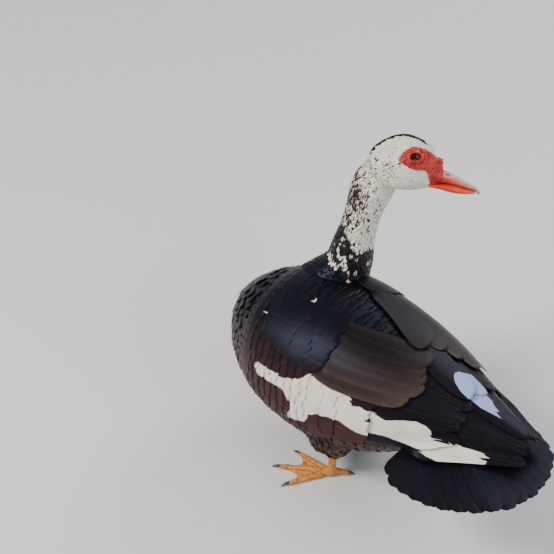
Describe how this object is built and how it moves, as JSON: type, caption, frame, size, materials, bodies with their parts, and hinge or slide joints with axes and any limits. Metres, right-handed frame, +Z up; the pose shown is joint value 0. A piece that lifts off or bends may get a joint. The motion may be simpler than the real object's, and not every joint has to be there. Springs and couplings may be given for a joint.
{
  "type": "muscovy duck",
  "caption": "Life-size still model of a pied black and white female muscovy duck, standing with her head turned back, red face, folded wings and fanned tail.",
  "frame": {"origin": "on the floor, under the centre of the whole bird's box", "axes": "+X towards the tail, the trunk heads towards -X, +Y is the bird's right side, +Z up"},
  "size_m": [0.3886, 0.2102, 0.3625],
  "materials": {
    "dark_feathers": "satin",
    "white_feathers": "matte",
    "face_skin": "satin",
    "bill": "satin",
    "nail": "satin",
    "eye": "gloss",
    "foot_skin": "satin",
    "claw": "satin"
  },
  "bodies": {
    "root": {"bill_lower": "bill", "bill_nail": "nail", "bill_upper": "bill", "caruncle_knob": "face_skin", "caruncles_left": "face_skin", "caruncles_right": "face_skin", "claw_left_1": "claw", "claw_left_2": "claw", "claw_left_3": "claw", "claw_left_4": "claw", "claw_right_1": "claw", "claw_right_2": "claw", "claw_right_3": "claw", "claw_right_4": "claw", "eye_left": "eye", "eye_right": "eye", "foot_left": "foot_skin", "foot_right": "foot_skin", "head": "white_feathers", "leg_left": "foot_skin", "leg_right": "foot_skin", "neck": "white_feathers", "scapulars_left": "dark_feathers", "scapulars_right": "dark_feathers", "tail": "dark_feathers", "tail_coverts": "dark_feathers", "tertials_left": "dark_feathers", "tertials_right": "dark_feathers", "thigh_left": "dark_feathers", "thigh_right": "dark_feathers", "torso": "dark_feathers", "wing_coverts_left": "white_feathers", "wing_coverts_right": "white_feathers", "wing_primaries_left": "dark_feathers", "wing_primaries_right": "dark_feathers", "wing_secondaries_left": "dark_feathers", "wing_secondaries_right": "dark_feathers"}
  },
  "joints": []
}
